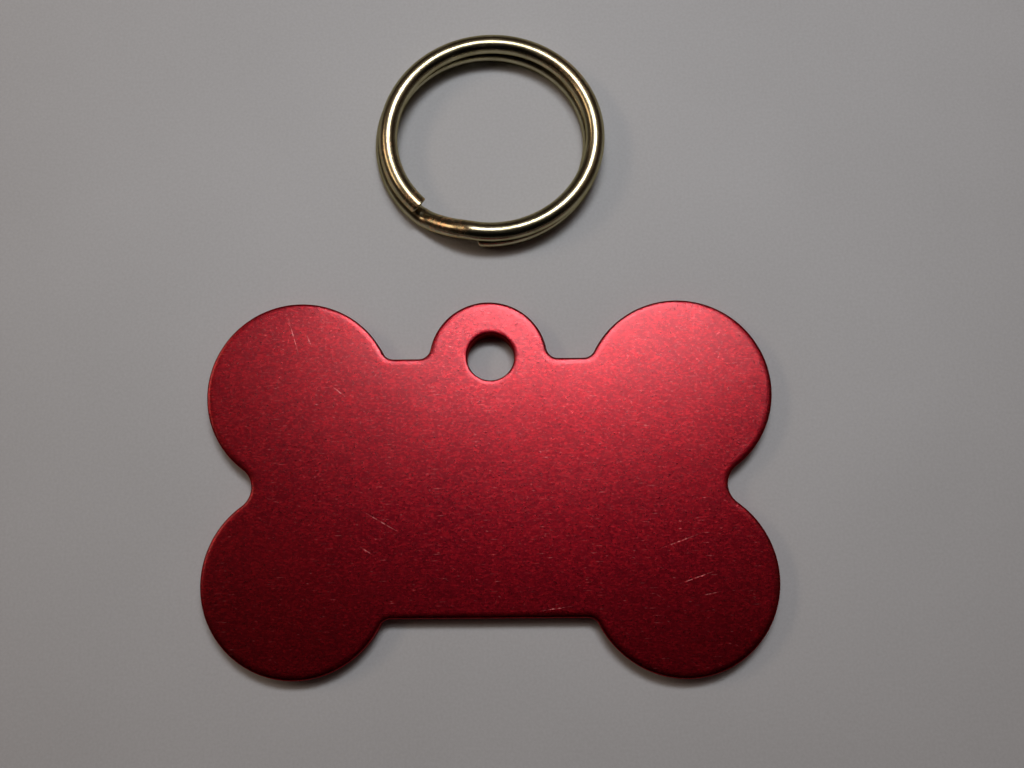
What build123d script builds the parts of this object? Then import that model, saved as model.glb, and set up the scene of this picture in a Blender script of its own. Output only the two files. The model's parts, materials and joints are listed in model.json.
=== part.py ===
from build123d import *
import math
import os

# A bone-shaped pet tag and the split ring that hangs it from a collar, lying side by side on a table.
# The origin is on the axis of the tag's ring hole, at the table. +X is to the right along the bone,
# +Y goes from the bone to its tab and on to the ring, and +Z is up.

# Sizes of the tag, in millimetres
tag_width = 38.0
tag_height = 25.0
sheet_thickness = 1.5
lobe_radius = 6.25
notch_depth = 3.15
flat_height = 17.2
tab_radius = 4.0
hole_diameter = 3.2
hole_to_tab_top = 3.8
hole_off_centre = 0.15

# Roundings of the tag's outline, each at most a share of the straight edge that it eats into,
# then those of its tumbled edges and of the hole's rims
notch_fillet = 1.2
notch_fillet_share = 0.75
corner_fillet = 0.8
corner_fillet_share = 0.6
edge_round = 0.3
hole_round = 0.2

# Sizes of the split ring, in millimetres
wire_diameter = 1.3
ring_width = 15.75
ring_depth = 15.0
turn_gap = 0.42
cut_end_break = 0.12

# The ring's place: from the top of the tab to the ring's near side, and along the bone
ring_clearance = 4.2
ring_shift = 0.13

# Angles round the ring, counter-clockwise from +X, in degrees
upper_end_angle = 222.0
jog_top_angle = 256.0
jog_foot_angle = 232.0
lower_end_angle = 265.0
biarcs_per_turn = 4

# Samples along each arc of the wire when its gap to itself is measured
gap_samples = 24

# Places that follow from the sizes
half_height = tag_height / 2
lobe_x = tag_width / 2 - lobe_radius
lobe_y = half_height - lobe_radius
tab_y = half_height - tab_radius
bone_centre = Vector(-hole_off_centre, hole_to_tab_top - half_height)
wire_radius = wire_diameter / 2
lower_level = wire_radius
upper_level = lower_level + wire_diameter + turn_gap
semi_x = (ring_width - wire_diameter) / 2
semi_y = (ring_depth - wire_diameter) / 2
ring_centre = Vector(ring_shift, hole_to_tab_top + ring_clearance + ring_depth / 2)


def on_ring(angle, level):
    """A point of the wire's centre line and the way it runs there, clockwise seen from above."""
    turn = math.radians(angle)
    point = ring_centre + Vector(semi_x * math.cos(turn), semi_y * math.sin(turn), level)
    heading = Vector(semi_x * math.sin(turn), -semi_y * math.cos(turn)).normalized()
    return point, heading


def biarc(start, finish):
    """Two arcs that leave start and reach finish along their headings, and meet smoothly in between."""
    first, leaving = start
    last, arriving = finish
    across = last - first
    spread = 2 * (1 - leaving.dot(arriving))
    reach = across.dot(leaving + arriving)
    square = across.dot(across)
    handle = square / (reach + math.sqrt(reach**2 + spread * square))
    meeting = (first + leaving * handle + last - arriving * handle) * 0.5
    arc = TangentArc(first, meeting, tangent=leaving)
    TangentArc(meeting, last, tangent=arc % 1)


def turn_stations(first_angle, last_angle, level):
    """Evenly spaced stations of one turn, where its biarcs join."""
    step = (last_angle - first_angle) / biarcs_per_turn
    return [on_ring(first_angle + step * count, level) for count in range(biarcs_per_turn + 1)]


def least_gap(edges):
    """The least space between stretches of the wire that are more than a quarter turn apart along it."""
    points = [tuple(edge @ (step / gap_samples)) for edge in edges for step in range(gap_samples)]
    apart = len(points) // 8
    pairs = ((a, b) for index, a in enumerate(points) for b in points[index + apart:])
    return min(math.dist(a, b) for a, b in pairs) - wire_diameter


def fitting_round(wanted, edges, share):
    """A fillet's radius: the one wanted, or that share of the shortest of the straight edges it eats into."""
    return min([wanted] + [edge.length * share for edge in edges])


# The bone: a middle, four lobes and the tab in one outline, cut from sheet, with a punched hole
with BuildPart() as bone_tag:
    with BuildSketch(Plane(origin=bone_centre)) as outline:
        Rectangle(tag_width - 2 * notch_depth, flat_height)
        with GridLocations(2 * lobe_x, 2 * lobe_y, 2, 2):
            Circle(lobe_radius)
        with Locations((0, tab_y)):
            Circle(tab_radius)
        flats = outline.edges().filter_by(Axis.X)
        flat_corners = outline.vertices().filter_by(lambda corner: abs(corner.X) < lobe_x)
        fillet(flat_corners, fitting_round(corner_fillet, flats, corner_fillet_share))
        webs = outline.edges().filter_by(Axis.Y)
        notch_corners = outline.vertices().filter_by(lambda corner: abs(corner.X) > lobe_x)
        fillet(notch_corners, fitting_round(notch_fillet, webs, notch_fillet_share))
    extrude(amount=sheet_thickness)
    rims = bone_tag.faces().filter_by(Axis.Z).edges()
    fillet(rims, edge_round)
    with Locations((0, 0, sheet_thickness)):
        Hole(hole_diameter / 2)
    flat_faces = bone_tag.faces().filter_by(Axis.Z)
    hole_rims = [edge for face in flat_faces for edge in face.inner_wires().edges()]
    fillet(hole_rims, hole_round)

# The split ring: one wire, from its upper end clockwise for a turn, down the jog and round again to its lower end
upper_turn = turn_stations(upper_end_angle, jog_top_angle - 360, upper_level)
lower_turn = turn_stations(jog_foot_angle - 360, lower_end_angle - 720, lower_level)
stations = upper_turn + lower_turn
with BuildPart() as split_ring:
    with BuildLine() as centre_line:
        for start, finish in zip(stations, stations[1:]):
            biarc(start, finish)
    first_point, first_heading = stations[0]
    with BuildSketch(Plane(origin=first_point, z_dir=first_heading)):
        Circle(wire_radius)
    sweep(path=centre_line.line)
    cut_ends = split_ring.faces().filter_by(GeomType.PLANE)
    fillet(cut_ends.edges(), cut_end_break)

wire_length = sum(edge.length for edge in centre_line.edges())
print(f"split ring: least gap to itself {least_gap(centre_line.edges()):.3f} mm")
print(f"split ring: wire {wire_length:.2f} mm long, volume {split_ring.part.volume:.2f} mm3")
print(f"split ring: section times length {math.pi * wire_radius**2 * wire_length:.2f} mm3")

os.makedirs("parts", exist_ok=True)
bone_tag.part.label = "bone_tag"
export_step(bone_tag.part, "parts/bone_tag.step")
split_ring.part.label = "split_ring"
export_step(split_ring.part, "parts/split_ring.step")
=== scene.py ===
# %% [markdown]
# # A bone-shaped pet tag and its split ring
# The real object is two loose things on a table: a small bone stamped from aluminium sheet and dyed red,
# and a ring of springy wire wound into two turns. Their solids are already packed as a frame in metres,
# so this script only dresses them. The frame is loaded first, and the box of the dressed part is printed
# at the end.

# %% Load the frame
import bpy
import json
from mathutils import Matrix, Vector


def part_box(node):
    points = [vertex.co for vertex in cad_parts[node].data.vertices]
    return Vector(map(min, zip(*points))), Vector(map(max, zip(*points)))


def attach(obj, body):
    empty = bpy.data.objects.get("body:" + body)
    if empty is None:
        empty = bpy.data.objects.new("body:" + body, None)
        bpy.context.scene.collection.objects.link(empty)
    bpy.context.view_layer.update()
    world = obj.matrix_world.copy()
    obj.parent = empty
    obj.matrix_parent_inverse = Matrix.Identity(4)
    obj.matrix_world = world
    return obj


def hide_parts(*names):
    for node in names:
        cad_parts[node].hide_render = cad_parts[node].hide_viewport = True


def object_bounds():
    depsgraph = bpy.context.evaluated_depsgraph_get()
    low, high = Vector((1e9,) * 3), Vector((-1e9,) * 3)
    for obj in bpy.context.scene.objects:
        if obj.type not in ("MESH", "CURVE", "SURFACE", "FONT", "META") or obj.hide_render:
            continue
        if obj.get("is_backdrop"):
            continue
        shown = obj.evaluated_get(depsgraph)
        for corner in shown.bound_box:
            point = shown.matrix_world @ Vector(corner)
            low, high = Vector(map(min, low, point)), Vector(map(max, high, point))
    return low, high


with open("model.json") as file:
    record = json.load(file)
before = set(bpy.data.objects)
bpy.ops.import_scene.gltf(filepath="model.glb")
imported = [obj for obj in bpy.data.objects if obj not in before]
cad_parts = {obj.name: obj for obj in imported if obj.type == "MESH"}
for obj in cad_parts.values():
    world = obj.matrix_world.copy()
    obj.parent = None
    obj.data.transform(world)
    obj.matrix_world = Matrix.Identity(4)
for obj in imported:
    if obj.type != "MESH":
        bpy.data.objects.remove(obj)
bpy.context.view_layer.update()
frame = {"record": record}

# %% [markdown]
# ## The camera
# The photograph looks down on the table from about 73 mm up, leaning back a little from the ring. A camera
# can be turned with Euler angles, but here it is easier to say where it stands and which point it looks
# at: two cross products then give its axes, and a small roll finishes them. The same helper aims the lamps
# later on.

# %% Stand the camera
import json
import math

import bpy
import numpy as np
from mathutils import Matrix

mm = 0.001
camera_stand = np.array((2.39, -13.42, 73.18)) * mm
camera_aim = np.array((1.44, -1.88, 1.5)) * mm
camera_roll = math.radians(-0.42)
picture_width = 1024
focal_length_in_pixels = 1080
nearest_seen, farthest_seen = 1 * mm, 5.0


def looking_matrix(stand, aim, roll=0.0):
    """Matrix of a camera or lamp. Its back axis runs from aim to stand, its right axis is across the look
    and +Y, its up axis is across right and the look, and roll turns right and up round the look."""
    look = (aim - stand) / np.linalg.norm(aim - stand)
    level = np.cross(look, (0.0, 1.0, 0.0))
    level /= np.linalg.norm(level)
    upright = np.cross(level, look)
    right = math.cos(roll) * level + math.sin(roll) * upright
    up = math.cos(roll) * upright - math.sin(roll) * level
    matrix = np.eye(4)
    matrix[:3, :4] = np.column_stack((right, up, -look, stand))
    return Matrix(matrix.tolist())


camera_data = bpy.data.cameras.new("photo_camera")
camera_data.lens = camera_data.sensor_width * focal_length_in_pixels / picture_width
camera_data.clip_start = nearest_seen
camera_data.clip_end = farthest_seen
camera = bpy.data.objects.new("photo_camera", camera_data)
camera.matrix_world = looking_matrix(camera_stand, camera_aim, camera_roll)
bpy.context.scene.collection.objects.link(camera)
bpy.context.scene.camera = camera
print("camera lens", round(camera_data.lens, 2), "mm, standing", round(camera_stand[2] / mm, 1), "mm up")

# %% [markdown]
# ## From arrays to a mesh
# Every surface below is a grid of points: rows and columns of positions that numpy works out all at once.
# Blender needs those positions as one list and the faces as lists of indices. Three helpers do that for all
# the pieces, so the cells that follow can talk about shapes only.

# %% Helpers for grids and meshes
def grid_faces(rows, columns, closed):
    """Quads of a grid whose point (i, j) has index i * columns + j: each joins (i, j), (i, j + 1),
    (i + 1, j + 1) and (i + 1, j). Where closed is true the last column joins the first one."""
    i, j = np.meshgrid(np.arange(rows - 1), np.arange(columns if closed else columns - 1), indexing="ij")
    following = (j + 1) % columns
    quads = (i * columns + j, i * columns + following, (i + 1) * columns + following, (i + 1) * columns + j)
    return np.stack(quads, axis=-1).reshape(-1, 4)


def mesh_piece(name, points, faces, material):
    """An object at the origin whose mesh has these points, in metres, and these faces, shaded smooth."""
    mesh = bpy.data.meshes.new(name)
    mesh.from_pydata(points.tolist(), [], faces)
    mesh.shade_smooth()
    mesh.materials.append(material)
    piece = bpy.data.objects.new(name, mesh)
    bpy.context.scene.collection.objects.link(piece)
    return piece


def float_attribute(piece, name, values):
    """One number for each point of the mesh, which a material reads with an Attribute node."""
    attribute = piece.data.attributes.new(name, "FLOAT", "POINT")
    attribute.data.foreach_set("value", np.ascontiguousarray(values, "f"))


# %% [markdown]
# ## Helpers for materials
# A material is a graph of nodes. Written out one call at a time it is long and hard to read, so one helper
# makes a node, sets its options, and fills each input with either a number or another node's output. The
# others are the few sums and patterns that every finish here is made of.

# %% Helpers for nodes
def add_node(tree, kind, inputs, **options):
    """A new node. Each input, named or numbered, takes a plain value or a link from another output."""
    made = tree.nodes.new(kind)
    for option, value in options.items():
        setattr(made, option, value)
    for socket, value in inputs.items():
        if isinstance(value, bpy.types.NodeSocket):
            tree.links.new(value, made.inputs[socket])
        else:
            made.inputs[socket].default_value = value
    return made


def new_finish(name):
    """An empty material: its node tree and its main shader, already joined to the output."""
    material = bpy.data.materials.new(name)
    material.use_nodes = True
    tree = material.node_tree
    tree.nodes.clear()
    shader = tree.nodes.new("ShaderNodeBsdfPrincipled")
    output = tree.nodes.new("ShaderNodeOutputMaterial")
    tree.links.new(shader.outputs["BSDF"], output.inputs["Surface"])
    return material, tree, shader


def remap(tree, value, low, high, to_low, to_high, smooth=False):
    """The value, moved in a straight line (or a soft S) from low..high to to_low..to_high, and held at
    the ends."""
    inputs = {"Value": value, "From Min": low, "From Max": high, "To Min": to_low, "To Max": to_high}
    kind = "SMOOTHSTEP" if smooth else "LINEAR"
    return add_node(tree, "ShaderNodeMapRange", inputs, interpolation_type=kind).outputs["Result"]


def combine(tree, operation, first, second):
    """Two numbers joined by a sum such as ADD, MULTIPLY or MAXIMUM."""
    return add_node(tree, "ShaderNodeMath", {0: first, 1: second}, operation=operation).outputs["Value"]


def add_share(tree, base, extra, share):
    """One number and a share of another: base + share * extra."""
    return combine(tree, "ADD", base, combine(tree, "MULTIPLY", extra, share))


def mix_colours(tree, share, first, second):
    """The first colour where share is 0, the second where it is 1, and a blend between. The Mix node has
    its two colours at inputs 6 and 7 and their blend at output 2."""
    return add_node(tree, "ShaderNodeMix", {0: share, 6: first, 7: second}, data_type="RGBA").outputs[2]


def noise(tree, place, size, detail, roughness=0.5):
    """Soft noise from 0 to 1 whose lumps are about size across, in metres."""
    inputs = {"Vector": place, "Scale": 1 / size, "Detail": detail, "Roughness": roughness}
    return add_node(tree, "ShaderNodeTexNoise", inputs).outputs["Fac"]


def bumped(tree, height, depth, upright=None, strength=1.0, invert=False):
    """The normal upright (or the mesh's own), tilted as if the surface rose by height times depth."""
    inputs = {"Strength": strength, "Distance": depth, "Height": height}
    if upright is not None:
        inputs["Normal"] = upright
    return add_node(tree, "ShaderNodeBump", inputs, invert=invert).outputs["Normal"]


# %% [markdown]
# ## The table
# The tag lies on a plain pale board. A single large square is enough for it, a hair below the tag's back
# face so that the two never share a plane. Its finish is matt, with a fine tooth that keeps it from looking
# painted.

# %% The table's finish
table_finish, tree, shader = new_finish("matt_board")
place = add_node(tree, "ShaderNodeTexCoord", {}).outputs["Object"]
board_light = (0.73, 0.75, 0.80, 1.0)
board_dark = (0.53, 0.545, 0.575, 1.0)
board_roughness = 0.8
tooth_size, cloud_size = mm / 5.2, mm / 0.06
tooth_share, cloud_share = 0.6, 0.4
tooth_depth, tooth_strength = 0.006 * mm, 0.3
tooth = noise(tree, place, tooth_size, 3.0)
cloud = noise(tree, place, cloud_size, 2.0)
shade = add_share(tree, combine(tree, "MULTIPLY", tooth, tooth_share), cloud, cloud_share)
tree.links.new(mix_colours(tree, shade, board_dark, board_light), shader.inputs["Base Color"])
tree.links.new(bumped(tree, tooth, tooth_depth, strength=tooth_strength), shader.inputs["Normal"])
shader.inputs["Roughness"].default_value = board_roughness
print("table finish:", len(tree.nodes), "nodes")

# %% Lay the table
table_side = 0.8
table_drop = 0.02 * mm
span = np.array((-0.5, 0.5)) * table_side
across, along = np.meshgrid(span, span)
table_points = np.stack((across, along, np.full_like(across, -table_drop)), axis=-1).reshape(-1, 3)
table = mesh_piece("table", table_points, grid_faces(2, 2, closed=False), table_finish)
table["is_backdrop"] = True
print("table", table_side, "m square")

# %% [markdown]
# ## The bone's outline
# The blank is punched from sheet, so its shape is one closed outline of arcs and straights: four lobes, a
# tab between the upper two, flats beside the tab and below, and a full-round notch at each end. Tracing
# pixels would give a wobbly line; circles that touch give the clean one a die has. The outline runs
# clockwise from the top of the tab to the middle of the lower flat, and the other half is its mirror image.

# %% Sizes of the blank
tag_low, tag_high = (np.array(corner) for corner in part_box("bone_tag"))
bone_centre = (tag_low + tag_high)[:2] / 2
half_width, half_height = (tag_high - tag_low)[:2] / 2
sheet = tag_high[2] - tag_low[2]
lobe_radius = 6.25 * mm
notch_radius = 1.5 * mm
flat_level = 8.6 * mm
tab_radius = 4.0 * mm
corner_radius = 0.8 * mm
hole_mount = next(mount for mount in frame["record"]["mounts"] if mount["name"] == "ring_hole")
hole_radius = hole_mount["dims"]["r_mm"] * mm
outline_step = 0.16 * mm

lobe_x = half_width - lobe_radius
lobe_y = half_height - lobe_radius
tab_y = half_height - tab_radius
tag_size = np.array((2 * half_width, 2 * half_height, sheet)) / mm
print("tag", np.round(tag_size, 2), "mm, hole", 2 * hole_radius / mm, "mm")


# %% The outline of touching circles
def arc(centre, radius, start, sweep, hollow=False):
    """Points centre + radius * (cos a, sin a) for evenly spaced angles a from start over sweep, without
    the last, and the way out of the metal at each: the same (cos a, sin a), turned round where the arc is
    hollow."""
    count = max(4, math.ceil(radius * abs(sweep) / outline_step))
    angle = start + sweep * np.arange(count) / count
    ray = np.column_stack((np.cos(angle), np.sin(angle)))
    return np.array(centre) + radius * ray, -ray if hollow else ray


def straight(first, last, out):
    """Evenly spaced points from first to last, without the last, which all share one way out."""
    count = max(2, math.ceil(math.dist(first, last) / outline_step))
    share = np.arange(count)[:, None] / count
    points = np.array(first) * (1 - share) + np.array(last) * share
    return points, np.tile(np.array(out, float), (count, 1))


def bone_outline():
    """The closed outline, clockwise. A hollow corner of radius c that touches a circle of radius r has its
    centre r + c from that circle's centre, which with its height over the flat gives its place by
    Pythagoras."""
    corner_y = flat_level + corner_radius
    tab_corner_x = math.sqrt((tab_radius + corner_radius) ** 2 - (corner_y - tab_y) ** 2)
    lobe_corner_x = lobe_x - math.sqrt((lobe_radius + corner_radius) ** 2 - (corner_y - lobe_y) ** 2)
    notch_x = lobe_x + math.sqrt((lobe_radius + notch_radius) ** 2 - lobe_y**2)
    tab_end = math.atan2(corner_y - tab_y, tab_corner_x)
    lobe_start = math.atan2(corner_y - lobe_y, lobe_corner_x - lobe_x)
    lobe_end = math.atan2(-lobe_y, notch_x - lobe_x)
    quarter = math.pi / 2
    from_flat = lobe_start - quarter
    pieces = [
        arc((0, tab_y), tab_radius, quarter, tab_end - quarter),
        arc((tab_corner_x, corner_y), corner_radius, tab_end + 2 * quarter, quarter - tab_end, hollow=True),
        straight((tab_corner_x, flat_level), (lobe_corner_x, flat_level), (0, 1)),
        arc((lobe_corner_x, corner_y), corner_radius, -quarter, from_flat, hollow=True),
        arc((lobe_x, lobe_y), lobe_radius, lobe_start, lobe_end - lobe_start),
        arc((notch_x, 0), notch_radius, lobe_end + 2 * quarter, -2 * lobe_end, hollow=True),
        arc((lobe_x, -lobe_y), lobe_radius, -lobe_end, lobe_end - lobe_start),
        arc((lobe_corner_x, -corner_y), corner_radius, 2 * quarter - lobe_start, from_flat, hollow=True),
        straight((lobe_corner_x, -flat_level), (0, -flat_level), (0, -1)),
    ]
    half = np.concatenate([points for points, out in pieces] + [np.array([(0, -flat_level)])])
    half_out = np.concatenate([out for points, out in pieces] + [np.array([(0.0, -1.0)])])
    mirror = np.array((-1, 1))
    whole = np.concatenate((half, half[-2:0:-1] * mirror))
    whole_out = np.concatenate((half_out, half_out[-2:0:-1] * mirror))
    return whole + bone_centre, whole_out


outline, outline_out = bone_outline()
outline_length = np.linalg.norm(np.roll(outline, -1, axis=0) - outline, axis=1).sum()
print("outline", len(outline), "points,", round(outline_length / mm, 1), "mm round")

# %% [markdown]
# ## The rounded edges
# After stamping, blanks are tumbled with grit until their edges are soft to the touch. A Bevel modifier
# could round them, but carrying a profile along the outline gives full control. Grit wears a wide gentle
# slope into the face and a tight round at the rim, so the profile bends slowly at first and then fast, and
# the back is the same. Tumbling is never even, so its size wanders by a few hundredths as it goes round.

# %% Carry the edge profile round the outline and round the hole
edge_rim, edge_face = 0.14 * mm, 4.0 * mm
hole_rim, hole_face = 0.10 * mm, 3.0 * mm
edge_ease = math.radians(5.0)
flat_row = 0.15 * mm
lean_steps = 18
hole_steps = 120
# Waves of the wander: how many go round, their size, and where they start in radians
wander_waves = ((3, 0.06, 1.0), (7, 0.04, 0.0), (17, 0.03, 2.0))


def tumbled_profile(rim_radius, face_radius, ease):
    """Half of an edge, from the face to the wall, by its lean a from 0 to a right angle. Its radius of
    bending falls from face_radius to rim_radius as rim + (face - rim) * exp(-a / ease). The sums of that
    radius times cos a and times sin a give how far each point lies inside the outline and how far it has
    dropped below the face."""
    lean = math.pi / 2 * np.linspace(0, 1, lean_steps) ** 2
    rate = 1 / ease
    fade = np.exp(-rate * lean)
    soft = (face_radius - rim_radius) / (1 + rate**2)
    reach = rim_radius * np.sin(lean) + soft * (fade * (np.sin(lean) - rate * np.cos(lean)) + rate)
    drop = rim_radius * (1 - np.cos(lean)) + soft * (1 - fade * (rate * np.sin(lean) + np.cos(lean)))
    return lean, reach[-1] - reach, drop


def rolled_edge(path, out, profile, wander):
    """A grid with one row for each point of the profile and one column for each point of the path. The
    front half of the profile is scaled by wander at each column, the back is the same from below, and one
    flat row inside each keeps the faces' shading flat. Also the sine of the lean at each point."""
    lean, half_in, half_down = profile
    flat_in = half_in[:1] + flat_row
    inward = np.concatenate((flat_in, half_in, half_in[::-1], flat_in))[:, None, None]
    zero = np.zeros(1)
    front = sheet - np.concatenate((zero, half_down))[:, None] * wander
    back = np.concatenate((half_down[::-1], zero))[:, None] * wander
    height = np.concatenate((front, back))[:, :, None]
    level = path[None] - out[None] * (inward * wander[None, :, None])
    edge = np.concatenate((zero, np.sin(lean), np.sin(lean)[::-1], zero))
    return np.concatenate((level, height), axis=2), np.tile(edge[:, None], (1, len(path)))


def tumbled_wander(count):
    """How much larger or smaller the rounding is, a few percent, as 1 plus three slow waves of size times
    sin(waves * turn + start) round a closed path."""
    turn = np.linspace(0, 2 * math.pi, count, endpoint=False)
    return sum((size * np.sin(waves * turn + start) for waves, size, start in wander_waves), 1.0)


outer_profile = tumbled_profile(edge_rim, edge_face, edge_ease)
outer_edge, outer_lean = rolled_edge(outline, outline_out, outer_profile, tumbled_wander(len(outline)))
hole_turn = np.linspace(0, 2 * math.pi, hole_steps, endpoint=False)
hole_ray = np.column_stack((np.cos(hole_turn), np.sin(hole_turn)))
hole_profile = tumbled_profile(hole_rim, hole_face, edge_ease)
hole_wander = tumbled_wander(hole_steps)
hole_edge, hole_lean = rolled_edge(hole_radius * hole_ray, -hole_ray, hole_profile, hole_wander)
print("edge grids", outer_edge.shape[:2], "and", hole_edge.shape[:2])

# %% [markdown]
# ## The two faces
# Each face is flat sheet between the outline and the hole. It could be one polygon with a hole, but rows of
# points inside let the sheet be as it really is: never quite flat, with a lazy wave of a few thousandths of
# a millimetre that makes the light run unevenly over it. Blender's constrained triangulation joins those
# points and the two edge loops without moving any of them.

# %% Points inside the outline
from mathutils.geometry import delaunay_2d_cdt

face_step = 0.55 * mm
face_margin = 0.9 * mm


def points_inside(path, out):
    """A staggered grid over the bone, kept where the nearest point of the path lies ahead on the way out
    of the metal by more than the margin, and outside the hole's edge by the same margin."""
    columns = np.arange(tag_low[0], tag_high[0], face_step)
    rows = np.arange(tag_low[1], tag_high[1], face_step * math.sqrt(0.75))
    x, y = np.meshgrid(columns, rows)
    x = x + 0.5 * face_step * (np.arange(len(rows)) % 2)[:, None]
    spots = np.column_stack((x.ravel(), y.ravel()))
    apart = np.linalg.norm(spots[:, None] - path[None], axis=2)
    nearest = apart.argmin(axis=1)
    ahead = np.einsum("ij,ij->i", path[nearest] - spots, out[nearest])
    clear_of_edge = ahead > face_margin
    clear_of_hole = np.linalg.norm(spots, axis=1) > hole_radius + face_margin
    return spots[clear_of_edge & clear_of_hole]


spots = points_inside(outline, outline_out)
print(len(spots), "points inside the face")

# %% Triangles between the outline, the points and the hole
fill_inside = 1
merge_within = 1e-6


def face_triangles(loop, inner_loop, inside):
    """Triangles, by index into the three point lists in turn, that fill the space between the two loops.
    A triangle with all its corners on the inner loop lies inside the hole and is dropped, and one whose
    corners run clockwise is turned round."""
    flat = np.concatenate((loop, inner_loop, inside))
    a, b = len(loop), len(inner_loop)
    ring_a = np.column_stack((np.arange(a), (np.arange(a) + 1) % a))
    ring_b = a + np.column_stack((np.arange(b), (np.arange(b) + 1) % b))
    edges = np.concatenate((ring_a, ring_b)).tolist()
    found = delaunay_2d_cdt((flat / mm).tolist(), edges, [], fill_inside, merge_within)
    order = np.array(found[3])[:, 0]
    triangles = order[np.array(found[2])]
    in_hole = ((triangles >= a) & (triangles < a + b)).all(axis=1)
    triangles = triangles[~in_hole]
    one, two, three = (flat[triangles[:, corner]] for corner in range(3))
    turned = (two - one)[:, 0] * (three - one)[:, 1] - (two - one)[:, 1] * (three - one)[:, 0]
    triangles[turned < 0] = triangles[turned < 0][:, ::-1]
    return triangles


front_triangles = face_triangles(outer_edge[0, :, :2], hole_edge[0, :, :2], spots)
back_triangles = face_triangles(outer_edge[-1, :, :2], hole_edge[-1, :, :2], spots)[:, ::-1]
print(len(front_triangles), "triangles on the front,", len(back_triangles), "on the back")

# %% The sheet's lazy waves
wave_height = 0.004 * mm


def sheet_wave(x, y):
    """Height of the front face over flat: wave_height times half the product of two crossing sine waves,
    the first bent by a third, plus half a slanting one, less 1. The waves are 12 to 20 mm long."""
    waves = np.sin(x / (1.9 * mm) + 0.7 * np.sin(y / (3.1 * mm))) * np.sin(y / (2.3 * mm) + 1.1)
    slow = np.sin(x / (3.2 * mm) - y / (2.6 * mm) + 0.4)
    return wave_height * (0.5 * waves + 0.5 * slow - 1.0)


def assemble_blank():
    """All points and faces of the blank, and the lean of each point: the two edge grids, then the inner
    points of the front and of the back. Every point above mid-sheet follows the front face's wave, in
    proportion to its height."""
    outer, inner = outer_edge.reshape(-1, 3), hole_edge.reshape(-1, 3)
    inside = len(spots)
    front = np.column_stack((spots, np.full(inside, sheet)))
    back = np.column_stack((spots, np.zeros(inside)))
    points = np.concatenate((outer, inner, front, back))
    rise = np.clip(2 * points[:, 2] / sheet - 1, 0, 1)
    points[:, 2] += rise * sheet_wave(points[:, 0], points[:, 1])
    lean = np.concatenate((outer_lean.ravel(), hole_lean.ravel(), np.zeros(2 * inside)))

    rows, a = outer_edge.shape[:2]
    b = hole_edge.shape[1]
    last = rows - 1
    hole_start = rows * a
    front_start = hole_start + rows * b
    back_start = front_start + inside
    front_parts = (np.arange(a), hole_start + np.arange(b), front_start + np.arange(inside))
    back_hole = hole_start + last * b
    back_parts = (last * a + np.arange(a), back_hole + np.arange(b), back_start + np.arange(inside))
    faces = grid_faces(rows, a, closed=True).tolist()
    faces += (hole_start + grid_faces(rows, b, closed=True)).tolist()
    faces += np.concatenate(front_parts)[front_triangles].tolist()
    faces += np.concatenate(back_parts)[back_triangles].tolist()
    return points, faces, lean


blank_points, blank_faces, blank_lean = assemble_blank()
print("blank:", len(blank_points), "points,", len(blank_faces), "faces")

# %% [markdown]
# ## The red finish
# Anodising grows a clear, slightly milky layer of oxide on aluminium, and the dye sits inside it. So the
# finish is a metal with a red reflection under a thin clear coat. The blank was etched satin first, which
# leaves crystals far too small to see: each leans its own way, and together they spread the light. Dye
# takes unevenly, in flecks about a tenth of a millimetre across, and the rolling of the sheet shows
# through as short level lines. Handling adds light scratches. All of it is worked out from the piece's
# own coordinates, in metres, so nothing has to be painted or unwrapped.

# %% Red anodised aluminium
red_finish, tree, shader = new_finish("anodised_red")
place = add_node(tree, "ShaderNodeTexCoord", {}).outputs["Object"]
dye_deep = (0.182, 0.0018, 0.0115, 1.0)
dye_light = (0.460, 0.0085, 0.0200, 1.0)
grain_size, rolling_size, dye_cloud_size = 0.18 * mm, 0.09 * mm, 5.0 * mm
etch_size, etch_tilt = 0.009 * mm, 0.19
sparkle_size, sparkle_tilt = 0.13 * mm, 0.014
fleck_size, fleck_contrast = 0.095 * mm, 2.2
rolling_angle, rolling_stretch, fleck_stretch = -1.5, 9.0, 1.7


def stretched(tree, place, angle, ratio, middle=(0.0, 0.0)):
    """Coordinates turned by angle about middle and squeezed lengthways, so a pattern lies in streaks."""
    inputs = {"Vector": place, "Location": (*middle, 0.0), "Rotation": (0.0, 0.0, math.radians(angle))}
    inputs["Scale"] = (ratio, 1.0, 1.0)
    return add_node(tree, "ShaderNodeMapping", inputs, vector_type="TEXTURE").outputs["Vector"]


def vector_sum(tree, operation, inputs):
    """One step of vector arithmetic, such as ADD, SUBTRACT or NORMALIZE."""
    return add_node(tree, "ShaderNodeVectorMath", inputs, operation=operation).outputs["Vector"]


def etched_normal(tree, place, size, tilt, upright):
    """The normal upright, tilted at random from one etched crystal to the next: each cell of a Voronoi
    pattern has a random colour, whose distance from mid-grey, times tilt, is added to the normal."""
    cells = add_node(tree, "ShaderNodeTexVoronoi", {"Vector": place, "Scale": 1 / size}).outputs["Color"]
    aside = vector_sum(tree, "SUBTRACT", {0: cells, 1: (0.5, 0.5, 0.5)})
    aside = vector_sum(tree, "SCALE", {0: aside, "Scale": tilt})
    return vector_sum(tree, "NORMALIZE", {0: vector_sum(tree, "ADD", {0: upright, 1: aside})})


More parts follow.
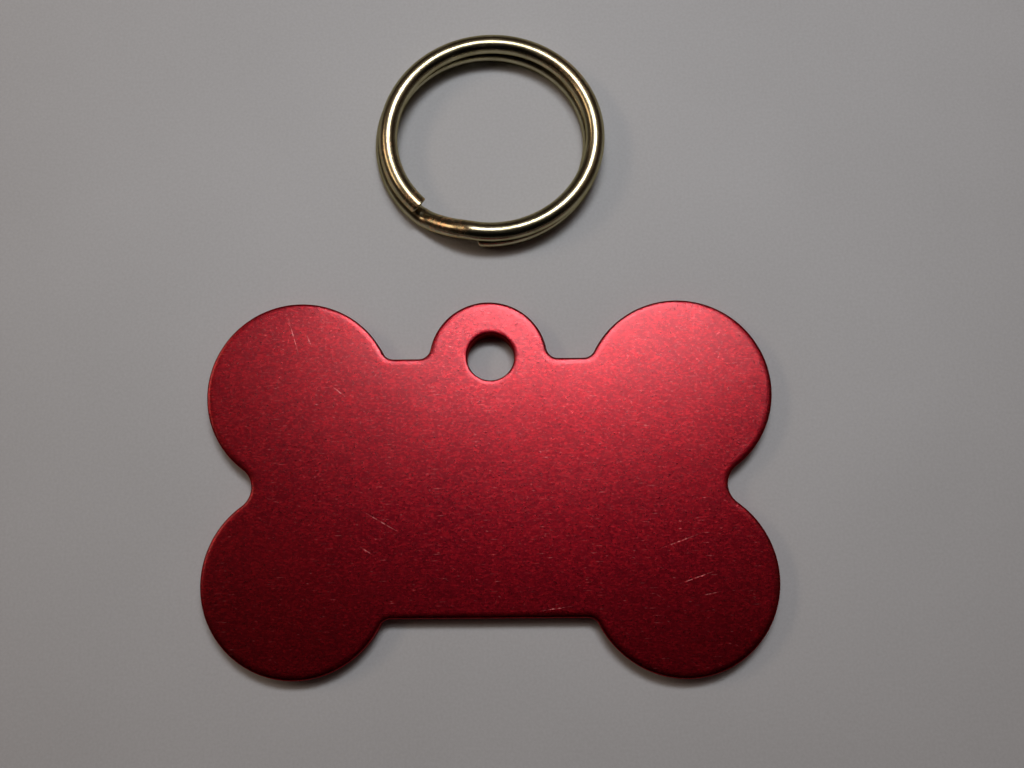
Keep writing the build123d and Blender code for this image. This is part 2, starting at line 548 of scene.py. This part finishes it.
grain = noise(tree, place, grain_size, 3.0, 0.65)
rolling = noise(tree, stretched(tree, place, rolling_angle, rolling_stretch), rolling_size, 2.0, 0.6)
dye_cloud = noise(tree, place, dye_cloud_size, 2.0)
smooth_normal = tree.nodes.new("ShaderNodeNewGeometry").outputs["Normal"]
etch = etched_normal(tree, place, etch_size, etch_tilt, smooth_normal)
sparkle = etched_normal(tree, place, sparkle_size, sparkle_tilt, etch)
pores = {"Vector": stretched(tree, place, rolling_angle, fleck_stretch), "Scale": 1 / fleck_size}
pores = add_node(tree, "ShaderNodeTexVoronoi", pores).outputs["Color"]
flecks = add_node(tree, "ShaderNodeSeparateColor", {"Color": pores}).outputs["Red"]
flecks = combine(tree, "POWER", flecks, fleck_contrast)
print("red finish: grain, rolling lines, dye cloud, flecks and etched sparkle")

# %% Scratches on the red
# Scratches that the photograph shows: middle in mm, angle in degrees, half length and half width in mm
seen_scratches = (
    ((-7.3, -11.0), -30, 1.4, 0.045),
    ((-8.2, -12.9), -32, 0.6, 0.05),
    ((-10.2, -2.3), -38, 0.6, 0.05),
    ((-13.4, 1.6), -73, 1.5, 0.03),
    ((-12.3, 1.2), -67, 0.5, 0.045),
    ((12.4, -12.4), 20, 1.6, 0.04),
    ((13.3, -14.8), 19, 1.6, 0.035),
    ((14.3, -15.8), 11, 0.7, 0.035),
    ((4.2, -16.7), 8, 1.2, 0.03),
)
seen_strength = 1.1

# Random sets: angle in degrees, then length, width and spacing in mm, and strength
scratch_sets = (
    (2.0, 0.7, 0.06, 0.30, 0.5),
    (-34.0, 0.5, 0.05, 0.60, 0.35),
    (68.0, 0.4, 0.045, 0.80, 0.3),
    (-8.0, 0.25, 0.09, 0.50, 0.5),
)
least_chance = 0.35
break_size = 0.22 * mm


def random_scratches(tree, place, angle, length, width, spacing):
    """Thin ellipses, one in each cell of a stretched Voronoi pattern: 1 on a cell's point, fading to 0 at
    the half width, which stretching turns into the half length. Only cells with a high random red stay."""
    turned = stretched(tree, place, angle, length / width)
    inputs = {"Vector": turned, "Scale": 1 / spacing}
    cells = add_node(tree, "ShaderNodeTexVoronoi", inputs, voronoi_dimensions="2D")
    mark = remap(tree, cells.outputs["Distance"], 0.0, 0.5 * width / spacing, 1.0, 0.0)
    chance = add_node(tree, "ShaderNodeSeparateColor", {"Color": cells.outputs["Color"]}).outputs["Red"]
    return combine(tree, "MULTIPLY", mark, remap(tree, chance, least_chance, 1.0, 0.0, 1.0))


def single_scratch(tree, place, middle, angle, half_length, half_width):
    """One long thin ellipse: strongest at its middle, fading to 0 where (x / half length)^2 +
    (y / half width)^2 is 1."""
    spot = (middle[0] * mm, middle[1] * mm)
    turned = stretched(tree, place, angle, half_length / half_width, spot)
    flat = vector_sum(tree, "MULTIPLY", {0: turned, 1: (1.0, 1.0, 0.0)})
    away = add_node(tree, "ShaderNodeVectorMath", {0: flat}, operation="LENGTH").outputs["Value"]
    return remap(tree, away, 0.0, half_width * mm, seen_strength, 0.0)


scratches = 0.0
for angle, length, width, spacing, strength in scratch_sets:
    more = random_scratches(tree, place, angle, length * mm, width * mm, spacing * mm)
    scratches = combine(tree, "MAXIMUM", scratches, combine(tree, "MULTIPLY", more, strength))
for middle, angle, half_long, half_wide in seen_scratches:
    more = single_scratch(tree, place, middle, angle, half_long, half_wide)
    scratches = combine(tree, "MAXIMUM", scratches, more)
broken = remap(tree, noise(tree, place, break_size, 2.0), 0.40, 0.60, 0.1, 1.0)
scratches = combine(tree, "MULTIPLY", scratches, broken)
print(len(seen_scratches), "long scratches and", len(scratch_sets), "random sets")

# %% Join the red finish to its shader
scratch_pale = (0.86, 0.30, 0.30, 1.0)
glancing_red = (0.75, 0.12, 0.14, 1.0)
fleck_share, dye_cloud_share, scratch_share = 0.75, 0.25, 0.8
satin_rough, satin_smooth, scratch_rough = 0.31, 0.265, 0.22
grain_depth, rolling_depth, scratch_depth = 0.004 * mm, 0.002 * mm, 0.004 * mm
coat_on_face, coat_on_edge = 0.85, 0.1
coat_roughness, coat_ior = 0.12, 1.43

edge = add_node(tree, "ShaderNodeAttribute", {}, attribute_name="edge").outputs["Fac"]
dye = add_share(tree, combine(tree, "MULTIPLY", flecks, fleck_share), dye_cloud, dye_cloud_share)
red = mix_colours(tree, dye, dye_deep, dye_light)
red = mix_colours(tree, combine(tree, "MULTIPLY", scratches, scratch_share), red, scratch_pale)
tree.links.new(red, shader.inputs["Base Color"])
satin = remap(tree, grain, 0.3, 0.7, satin_rough, satin_smooth)
tree.links.new(add_share(tree, satin, scratches, scratch_rough), shader.inputs["Roughness"])
normal = bumped(tree, grain, grain_depth, sparkle)
normal = bumped(tree, rolling, rolling_depth, normal)
normal = bumped(tree, scratches, scratch_depth, normal, invert=True)
tree.links.new(normal, shader.inputs["Normal"])
tree.links.new(normal, shader.inputs["Coat Normal"])
shader.inputs["Metallic"].default_value = 1.0
shader.inputs["Specular Tint"].default_value = glancing_red
tree.links.new(remap(tree, edge, 0.2, 0.9, coat_on_face, coat_on_edge), shader.inputs["Coat Weight"])
shader.inputs["Coat Roughness"].default_value = coat_roughness
shader.inputs["Coat IOR"].default_value = coat_ior
print("red finish:", len(tree.nodes), "nodes")

# %% Make the blank
blank = mesh_piece("bone_blank", blank_points, blank_faces, red_finish)
float_attribute(blank, "edge", blank_lean)
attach(blank, "tag")
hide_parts("bone_tag")
print("blank of", round(2 * half_width / mm, 2), "by", round(2 * half_height / mm, 2), "mm")

# %% [markdown]
# ## The wire of the split ring
# A split ring is one hard wire wound flat for almost two turns. Where the first turn ends, the wire is
# pinched down by its own thickness, which makes the jog, and the winding presses it a little flat. It could
# be a curve with a bevel, but a grid does more: one row for each station along the wire and one column for
# each direction round it, so its cut ends can be broken and the pinch of the forming tool pressed into it.

# %% Sizes of the ring
ring_low, ring_high = (np.array(corner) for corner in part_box("split_ring"))
ring_centre = (ring_low + ring_high)[:2] / 2
wire_radius = 0.65 * mm
wire_flatness = 0.9
turn_gap = 0.02 * mm
semi_x, semi_y = (ring_high - ring_low)[:2] / 2 - wire_radius
lower_level = ring_low[2] + wire_flatness * wire_radius
upper_level = lower_level + 2 * wire_flatness * wire_radius + turn_gap
lower_shift = np.array((-0.25, -0.03)) * mm
lower_growth = np.array((0.10, 0.03)) * mm
print("ring", np.round(2 * (semi_x + wire_radius) / mm, 2), "mm wide, wire", 2 * wire_radius / mm, "mm")

# %% The wire's centre line
# Angles in degrees, counter-clockwise from +X. They fall along the wire, which runs clockwise.
upper_end, jog_top, jog_foot, lower_end = 226.0, 256.0 - 360, 232.0 - 360, 265.0 - 720
jog_ease = 0.16
cut_break = 0.10 * mm
tip_stations, body_stations = 7, 1100


def rounded_ramp(x, ease):
    """A ramp from 0 at x = 0 to 1 at x = 1 whose two kinks are rounded: the mean of the sharp ramp over a
    window of half width ease, which is the difference of its integral at the window's two ends over the
    window's width."""
    def integral(t):
        """The sharp ramp's integral up to t: half of t squared on the ramp, and t - 1 more after it."""
        inside = np.clip(t, 0, 1)
        return 0.5 * inside**2 + np.maximum(t - 1, 0)
    return (integral(x + ease) - integral(x - ease)) / (2 * ease)


def ring_stations():
    """Angles round the ring, clockwise from the upper end to the lower one, closer over the cut ends."""
    tip = np.degrees(cut_break / semi_x) * (1 - np.cos(np.linspace(0, math.pi / 2, tip_stations)))
    body = np.linspace(upper_end - tip[-1], lower_end + tip[-1], body_stations)
    return np.concatenate((upper_end - tip[:-1], body, lower_end + tip[-2::-1]))


def wire_line(angle):
    """The centre line: an ellipse in plan, at the upper level until the jog and at the lower one after it.
    The lower turn is a little wider and sits to one side, as it does where a ring has been opened a few
    times."""
    drop = rounded_ramp((jog_top - angle) / (jog_top - jog_foot), jog_ease)
    turn = np.radians(angle)
    x = ring_centre[0] + (semi_x + lower_growth[0] * drop) * np.cos(turn) + lower_shift[0] * drop
    y = ring_centre[1] + (semi_y + lower_growth[1] * drop) * np.sin(turn) + lower_shift[1] * drop
    return np.column_stack((x, y, upper_level + (lower_level - upper_level) * drop))


angles = ring_stations()
line = wire_line(angles)
steps_along = np.linalg.norm(np.diff(line, axis=0), axis=1)
line_length = np.concatenate((np.zeros(1), np.cumsum(steps_along)))
print("wire", round(line_length[-1] / mm, 1), "mm long in", len(angles), "stations")

# %% Carry the section along the line
# Pinches of the tool: angle round the ring, direction round the wire and spread, all in degrees
pinches = ((-128.0, 100.0, 3.0), (-106.0, 75.0, 3.0), (-133.5, 150.0, 2.0))
pinch_depth = 0.05 * mm
section_steps = 44
lean_reach = 0.9 * mm
upper_lean, lower_lean = 0.35, 0.18


def pressed_radius(angle, around):
    """The wire's radius at each station and direction: smaller in the broken cut ends by a quarter circle,
    and pressed in by a bell-shaped dent at each place where the forming tool held the wire."""
    from_end = np.minimum(line_length, line_length[-1] - line_length)
    into = np.clip(cut_break - from_end, 0, cut_break)
    radius = wire_radius - cut_break + np.sqrt(cut_break**2 - into**2)
    radius = np.tile(radius[:, None], (1, len(around)))
    for where, facing, spread in pinches:
        along = np.exp(-(((angle - where) / spread) ** 2))[:, None]
        side = np.clip(np.cos(around - math.radians(facing)), 0, 1)[None] ** 3
        radius -= pinch_depth * along * side
    return radius


def wire_surface():
    """Points line + radius * (cos a * across + flatness * sin a * over) for directions a round the wire,
    where across is level and square to the wire, over is square to both, and each cut end leans as a shear
    leaves it: pushed along the wire in proportion to its height, less and less over the lean's reach."""
    tangent = np.gradient(line, line_length, axis=0)
    tangent /= np.linalg.norm(tangent, axis=1)[:, None]
    across = np.column_stack((-tangent[:, 1], tangent[:, 0], np.zeros(len(line))))
    across /= np.linalg.norm(across, axis=1)[:, None]
    over = wire_flatness * np.cross(tangent, across)
    around = np.linspace(0, 2 * math.pi, section_steps, endpoint=False)
    radius = pressed_radius(angles, around)
    offset = np.cos(around)[None, :, None] * across[:, None] + np.sin(around)[None, :, None] * over[:, None]
    points = line[:, None] + radius[:, :, None] * offset
    height = radius * np.sin(around)[None]
    first = np.clip(1 - line_length / lean_reach, 0, 1)[:, None] * height
    last = np.clip(1 - (line_length[-1] - line_length) / lean_reach, 0, 1)[:, None] * height
    points += (lower_lean * last - upper_lean * first)[:, :, None] * tangent[:, None]
    return points


wire_points = wire_surface()
print("wire grid", wire_points.shape[:2])

# %% [markdown]
# ## The nickel finish
# The wire is steel with a bright nickel plate, which is a little yellow beside chrome. Drawing the wire
# through a die leaves fine lines along it, so the pattern has to follow the wire: it is laid on a UV map
# whose one axis runs along the wire and whose other goes round it. Where turns rub and where the tool
# pinched it, the plate is scuffed and warmer. The same copper colour is also painted glint: it stands for
# the coppery reflection of the warm lamp at the left, painted into the wire's colour.

# %% Bright nickel wire
wire_finish, tree, shader = new_finish("nickel_wire")
place = add_node(tree, "ShaderNodeTexCoord", {}).outputs["Object"]
along_wire = add_node(tree, "ShaderNodeUVMap", {}, uv_map="along_wire").outputs["UV"]
# Per-point wear, which also marks where coppery glint is painted into the colour
wear_and_glint = add_node(tree, "ShaderNodeAttribute", {}, attribute_name="wear_and_glint").outputs["Fac"]
nickel = (0.42, 0.38, 0.25, 1.0)
nickel_dull = (0.28, 0.25, 0.15, 1.0)
# Copper colour of worn plate, also used as painted glint of the warm lamp at the left
copper_wear_and_painted_glint = (0.80, 0.46, 0.26, 1.0)
glancing_olive = (0.66, 0.60, 0.36, 1.0)
lines_along_and_round = (60.0, 40.0, 1.0)
spot_size, tarnish_size, pit_size = 0.25 * mm, 1.4 * mm, 0.07 * mm
line_depth, spot_depth, pit_depth = 0.002 * mm, 0.002 * mm, 0.003 * mm
gloss_smooth, gloss_rough, scuff_rough = 0.19, 0.28, 0.04
most_tarnish = 0.8

drawn = {"Vector": along_wire, "Scale": lines_along_and_round}
drawn = add_node(tree, "ShaderNodeMapping", drawn).outputs["Vector"]
draw_lines = noise(tree, drawn, 1.0, 4.0)
spot_noise = noise(tree, place, spot_size, 4.0, 0.6)
tarnish = noise(tree, place, tarnish_size, 3.0)
pits = noise(tree, place, pit_size, 2.0)
# Scuff mask: copper where the plate is worn, and painted coppery glint of the warm lamp
scuff_and_painted_glint = combine(tree, "MULTIPLY", remap(tree, spot_noise, 0.46, 0.64, 0.0, 1.0, smooth=True), wear_and_glint)
colour = mix_colours(tree, remap(tree, tarnish, 0.40, 0.68, 0.0, most_tarnish), nickel, nickel_dull)
tree.links.new(mix_colours(tree, scuff_and_painted_glint, colour, copper_wear_and_painted_glint), shader.inputs["Base Color"])
gloss = remap(tree, draw_lines, 0.3, 0.7, gloss_smooth, gloss_rough)
tree.links.new(add_share(tree, gloss, scuff_and_painted_glint, scuff_rough), shader.inputs["Roughness"])
normal = bumped(tree, draw_lines, line_depth)
normal = bumped(tree, spot_noise, spot_depth, normal)
normal = bumped(tree, pits, pit_depth, normal)
tree.links.new(normal, shader.inputs["Normal"])
shader.inputs["Metallic"].default_value = 1.0
shader.inputs["Specular Tint"].default_value = glancing_olive
print("nickel finish:", len(tree.nodes), "nodes")

# %% Faces, wear and painted glint, and UV map of the wire
# Bands of worn plate, which also paint coppery glint into the colour: angle round the ring and spread in
# degrees, and the most wear
wear_and_glint_bands = (
    (-116.0, 13.0, 0.9),
    (222.0, 6.0, 0.8),
    (40.0, 22.0, 0.55),
    (195.0, 14.0, 0.5),
    (-455.0, 8.0, 0.7),
)


def wire_faces(rows, columns):
    """The grid's quads, closed round the wire, and a fan of triangles to a middle point over each end."""
    quads = grid_faces(rows, columns, closed=True).tolist()
    rim = np.arange(columns)
    following = (rim + 1) % columns
    count = rows * columns
    last_row = count - columns
    start = np.column_stack((np.full(columns, count), following, rim))
    finish = np.column_stack((np.full(columns, count + 1), last_row + rim, last_row + following))
    return quads + start.tolist() + finish.tolist()


def wear_and_glint_places(angle, columns):
    """How much worn plate and painted coppery glint each point has: the sum of bell-shaped bands over the
    jog, by the ends and at two places on the sides where the warm lamp's glint is painted, the same all
    round the wire, and then at the two middle points of the ends."""
    wear_and_glint = sum(most * np.exp(-(((angle - middle) / spread) ** 2)) for middle, spread, most in wear_and_glint_bands)
    return np.concatenate((np.repeat(np.clip(wear_and_glint, 0, 1), columns), wear_and_glint[[0, -1]]))


def wire_uv(rows, columns):
    """The UV of each corner of each face: how far along the wire and how far round it, both from 0 to 1.
    The last quads round the wire go on to 1, so no seam shows, and the two ends' fans all take (0, 0)."""
    i, j = np.meshgrid(np.arange(rows - 1), np.arange(columns), indexing="ij")
    row = np.stack((i, i, i + 1, i + 1), axis=2).ravel()
    column = np.stack((j, j + 1, j + 1, j), axis=2).ravel()
    quads = np.column_stack((line_length[row] / line_length[-1], column / columns))
    fans = np.zeros((2 * 3 * columns, 2))
    return np.concatenate((quads, fans)).ravel().astype("f")


rows, columns = wire_points.shape[:2]
ring_faces = wire_faces(rows, columns)
print("wire:", len(ring_faces), "faces and", len(wear_and_glint_bands), "worn places")

# %% Make the ring
end_points = wire_points[[0, -1]].mean(axis=1)
ring_points = np.concatenate((wire_points.reshape(-1, 3), end_points))
ring = mesh_piece("ring_wire", ring_points, ring_faces, wire_finish)
float_attribute(ring, "wear_and_glint", wear_and_glint_places(angles, columns))
layer = ring.data.uv_layers.new(name="along_wire")
layer.data.foreach_set("uv", wire_uv(rows, columns))
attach(ring, "ring")
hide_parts("split_ring")
print("ring:", len(ring.data.vertices), "points,", len(ring.data.polygons), "faces")

# %% [markdown]
# ## Light
# The shadows in the photograph are short, soft and fall towards the viewer, and the red glows near the tab
# and sinks into dark below it. That takes three lamps. The main one stands above and behind the ring, with
# a narrow spread like a lamp with a grid, so the table darkens away from it. A broad warm glow on the
# ceiling beside it softens the shadows' inner edges, and a small warm one at the left puts the coppery
# glint beside the wire's highlight.

# %% Three soft lamps
def soft_lamp(name, stand, aim, width, depth, power, colour, spread=180.0):
    """An oval lamp, width across and depth deep, which stands somewhere in millimetres and looks at aim.
    Its light is power watts, kept to a cone of spread degrees, and the camera doesn't see the lamp."""
    data = bpy.data.lights.new(name, "AREA")
    data.shape = "ELLIPSE"
    data.size = width * mm
    data.size_y = depth * mm
    data.energy = power
    data.color = colour
    data.spread = math.radians(spread)
    lamp = bpy.data.objects.new(name, data)
    lamp.matrix_world = looking_matrix(np.array(stand) * mm, np.array(aim) * mm)
    lamp.visible_camera = False
    bpy.context.scene.collection.objects.link(lamp)
    print(name, "stands", round(float(np.linalg.norm(stand))), "mm away")


soft_lamp("main_lamp", stand=(12.0, 69.0, 168.0), aim=(0.0, 14.0, 0.0), width=78, depth=32,
          power=0.0150, colour=(0.96, 0.99, 1.0), spread=72)
soft_lamp("ceiling_glow", stand=(10.0, 65.0, 196.0), aim=(0.0, 6.0, 0.0), width=130, depth=62,
          power=0.054, colour=(1.0, 0.92, 0.84))
soft_lamp("side_glow", stand=(-182.0, 60.0, 182.0), aim=(0.0, 0.0, 0.0), width=56, depth=115,
          power=0.058, colour=(1.0, 0.76, 0.54))

# %% [markdown]
# ## The room
# Metal shows little else than the room around it, so the room matters as much as the lamps. It could be a
# photograph wrapped round the scene; here a few angles are enough. It is black on the viewer's side, where
# someone stands with the camera, with a faint warm ceiling behind, darker walls, and a pale band near the
# table's own level, which lights the sides and shows in the tag only when it is seen from low down.

# %% The dim room
world = bpy.data.worlds.new("dim_room")
world.use_nodes = True
room = world.node_tree
background = room.nodes["Background"]
shade_middle = np.array((0.05, -1.0, 1.0))
shade_middle /= np.linalg.norm(shade_middle)
straight_up = (0.0, 0.0, 1.0)
shade_inner, shade_outer = math.radians(42.0), math.radians(58.0)
wall_inner, wall_outer = math.radians(30.0), math.radians(55.0)
band_top, band_foot = math.radians(73.0), math.radians(87.0)
ceiling_level, wall_level, band_level = 0.16, 0.022, 0.12
room_warm = (1.0, 0.62, 0.47, 1.0)
room_pale = (1.0, 0.95, 0.90, 1.0)


def angle_from(tree, way, middle):
    """The angle between a way to look and a middle one, both of length 1: the arc cosine of their dot
    product."""
    towards = add_node(tree, "ShaderNodeVectorMath", {0: way, 1: middle}, operation="DOT_PRODUCT")
    turned = add_node(tree, "ShaderNodeMath", {0: towards.outputs["Value"]}, operation="ARCCOSINE")
    return turned.outputs["Value"]


way = add_node(room, "ShaderNodeTexCoord", {}).outputs["Generated"]
off_shade = angle_from(room, way, tuple(shade_middle))
off_vertical = angle_from(room, way, straight_up)
lit = remap(room, off_shade, shade_inner, shade_outer, 0.0, 1.0, smooth=True)
level = remap(room, off_vertical, wall_inner, wall_outer, ceiling_level, wall_level, smooth=True)
band = remap(room, off_vertical, band_top, band_foot, 0.0, 1.0, smooth=True)
glow = add_share(room, combine(room, "MULTIPLY", lit, level), band, band_level)
room.links.new(glow, background.inputs["Strength"])
room.links.new(mix_colours(room, band, room_warm, room_pale), background.inputs["Color"])
bpy.context.scene.world = world
bpy.context.scene.view_settings.view_transform = "Standard"
print("room levels: ceiling", ceiling_level, "walls", wall_level, "low band", band_level)

# %% [markdown]
# ## The box of the dressed part
# The box round everything that renders, the table left out, is printed in millimetres.
# The dressed part must not be larger than its solids.

# %% Print the box
visual_box = [list(corner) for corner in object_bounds()]
rounded_box = [[round(1000 * value, 2) for value in corner] for corner in visual_box]
print("box of the dressed part in mm:", rounded_box)
